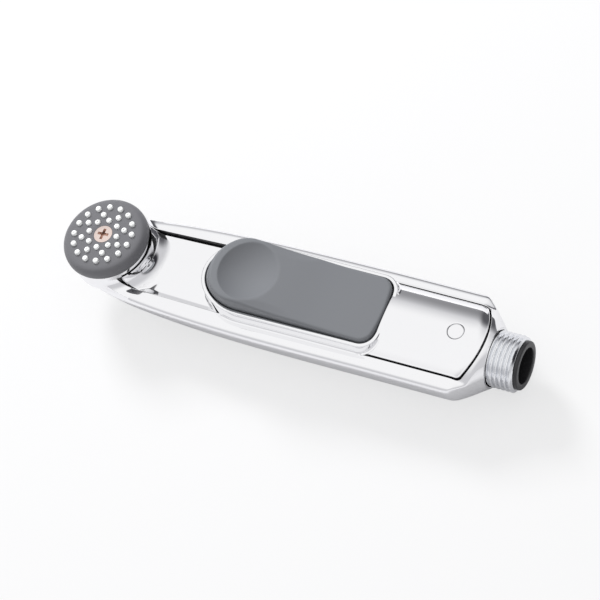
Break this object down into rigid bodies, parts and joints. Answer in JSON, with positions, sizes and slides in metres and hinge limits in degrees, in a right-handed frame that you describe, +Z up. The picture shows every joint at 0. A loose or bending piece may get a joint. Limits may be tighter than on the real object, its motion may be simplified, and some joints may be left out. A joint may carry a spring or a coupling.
{
  "type": "handheld bidet shower",
  "caption": "Handheld bidet shower with a chrome body, round grey spray face, grey thumb lever over a push valve and a threaded inlet.",
  "frame": {"origin": "middle of the length and width at the lowest point, the shower lying on its back", "axes": "+X along the body from the spray head to the inlet, +Z up through the lever"},
  "size_m": [0.1818, 0.0414, 0.0334],
  "materials": {
    "chrome_plating": "mirror chrome plating on moulded plastic",
    "thread_chrome": "satin chrome plating on brass",
    "grey_plastic": "satin moulded plastic",
    "dark_grey_plastic": "fine grained moulded plastic",
    "white_silicone": "soft white silicone",
    "copper_plating": "copper plated steel",
    "black_plastic": "smooth moulded plastic",
    "black_rubber": "moulded sealing rubber",
    "white_plastic": "plain moulded plastic",
    "stainless_steel": "bright stainless steel",
    "brass": "turned brass"
  },
  "bodies": {
    "body": {"body_shell": "chrome_plating", "top_cover": "chrome_plating", "screw_cap": "chrome_plating", "cover_screw": "stainless_steel", "lever_pin": "stainless_steel", "spray_face": "dark_grey_plastic", "nozzle_pad": "white_silicone", "face_screw": "copper_plating", "chamber_seal": "black_rubber", "spray_chamber": "white_plastic", "waterway_tube": "white_plastic", "tube_seals": "black_rubber", "inlet_nipple": "thread_chrome", "inlet_seal": "black_rubber", "inlet_sleeve": "black_plastic", "inlet_filter": "white_plastic", "check_valve_seat": "white_plastic", "check_valve_flap": "white_silicone", "valve_body": "white_plastic", "valve_seat": "brass", "seat_seal": "black_rubber", "valve_gland": "brass", "stem_seals": "black_rubber", "gland_nut": "brass", "valve_spring": "stainless_steel", "body_screws": "stainless_steel"},
    "lever": {"thumb_lever": "grey_plastic"},
    "stem": {"valve_stem": "brass", "valve_disc": "black_rubber", "disc_nut": "brass"}
  },
  "joints": [
    {"name": "lever_hinge", "type": "hinge", "parent": "body", "child": "lever", "pos_m": [0.0329, 0, 0.021], "axis": [0, -1, 0], "range_deg": [0, 4.2], "stiffness_Nm_per_rad": 4, "springref_deg": -4.58},
    {"name": "stem_slide", "type": "slide", "parent": "body", "child": "stem", "axis": [0, 0, -1], "range_m": [0, 0.0029], "deforming": ["valve_spring"]}
  ],
  "couplings": [
    {"joint": "stem_slide", "follows": "lever_hinge", "m_per_rad": 0.039}
  ]
}
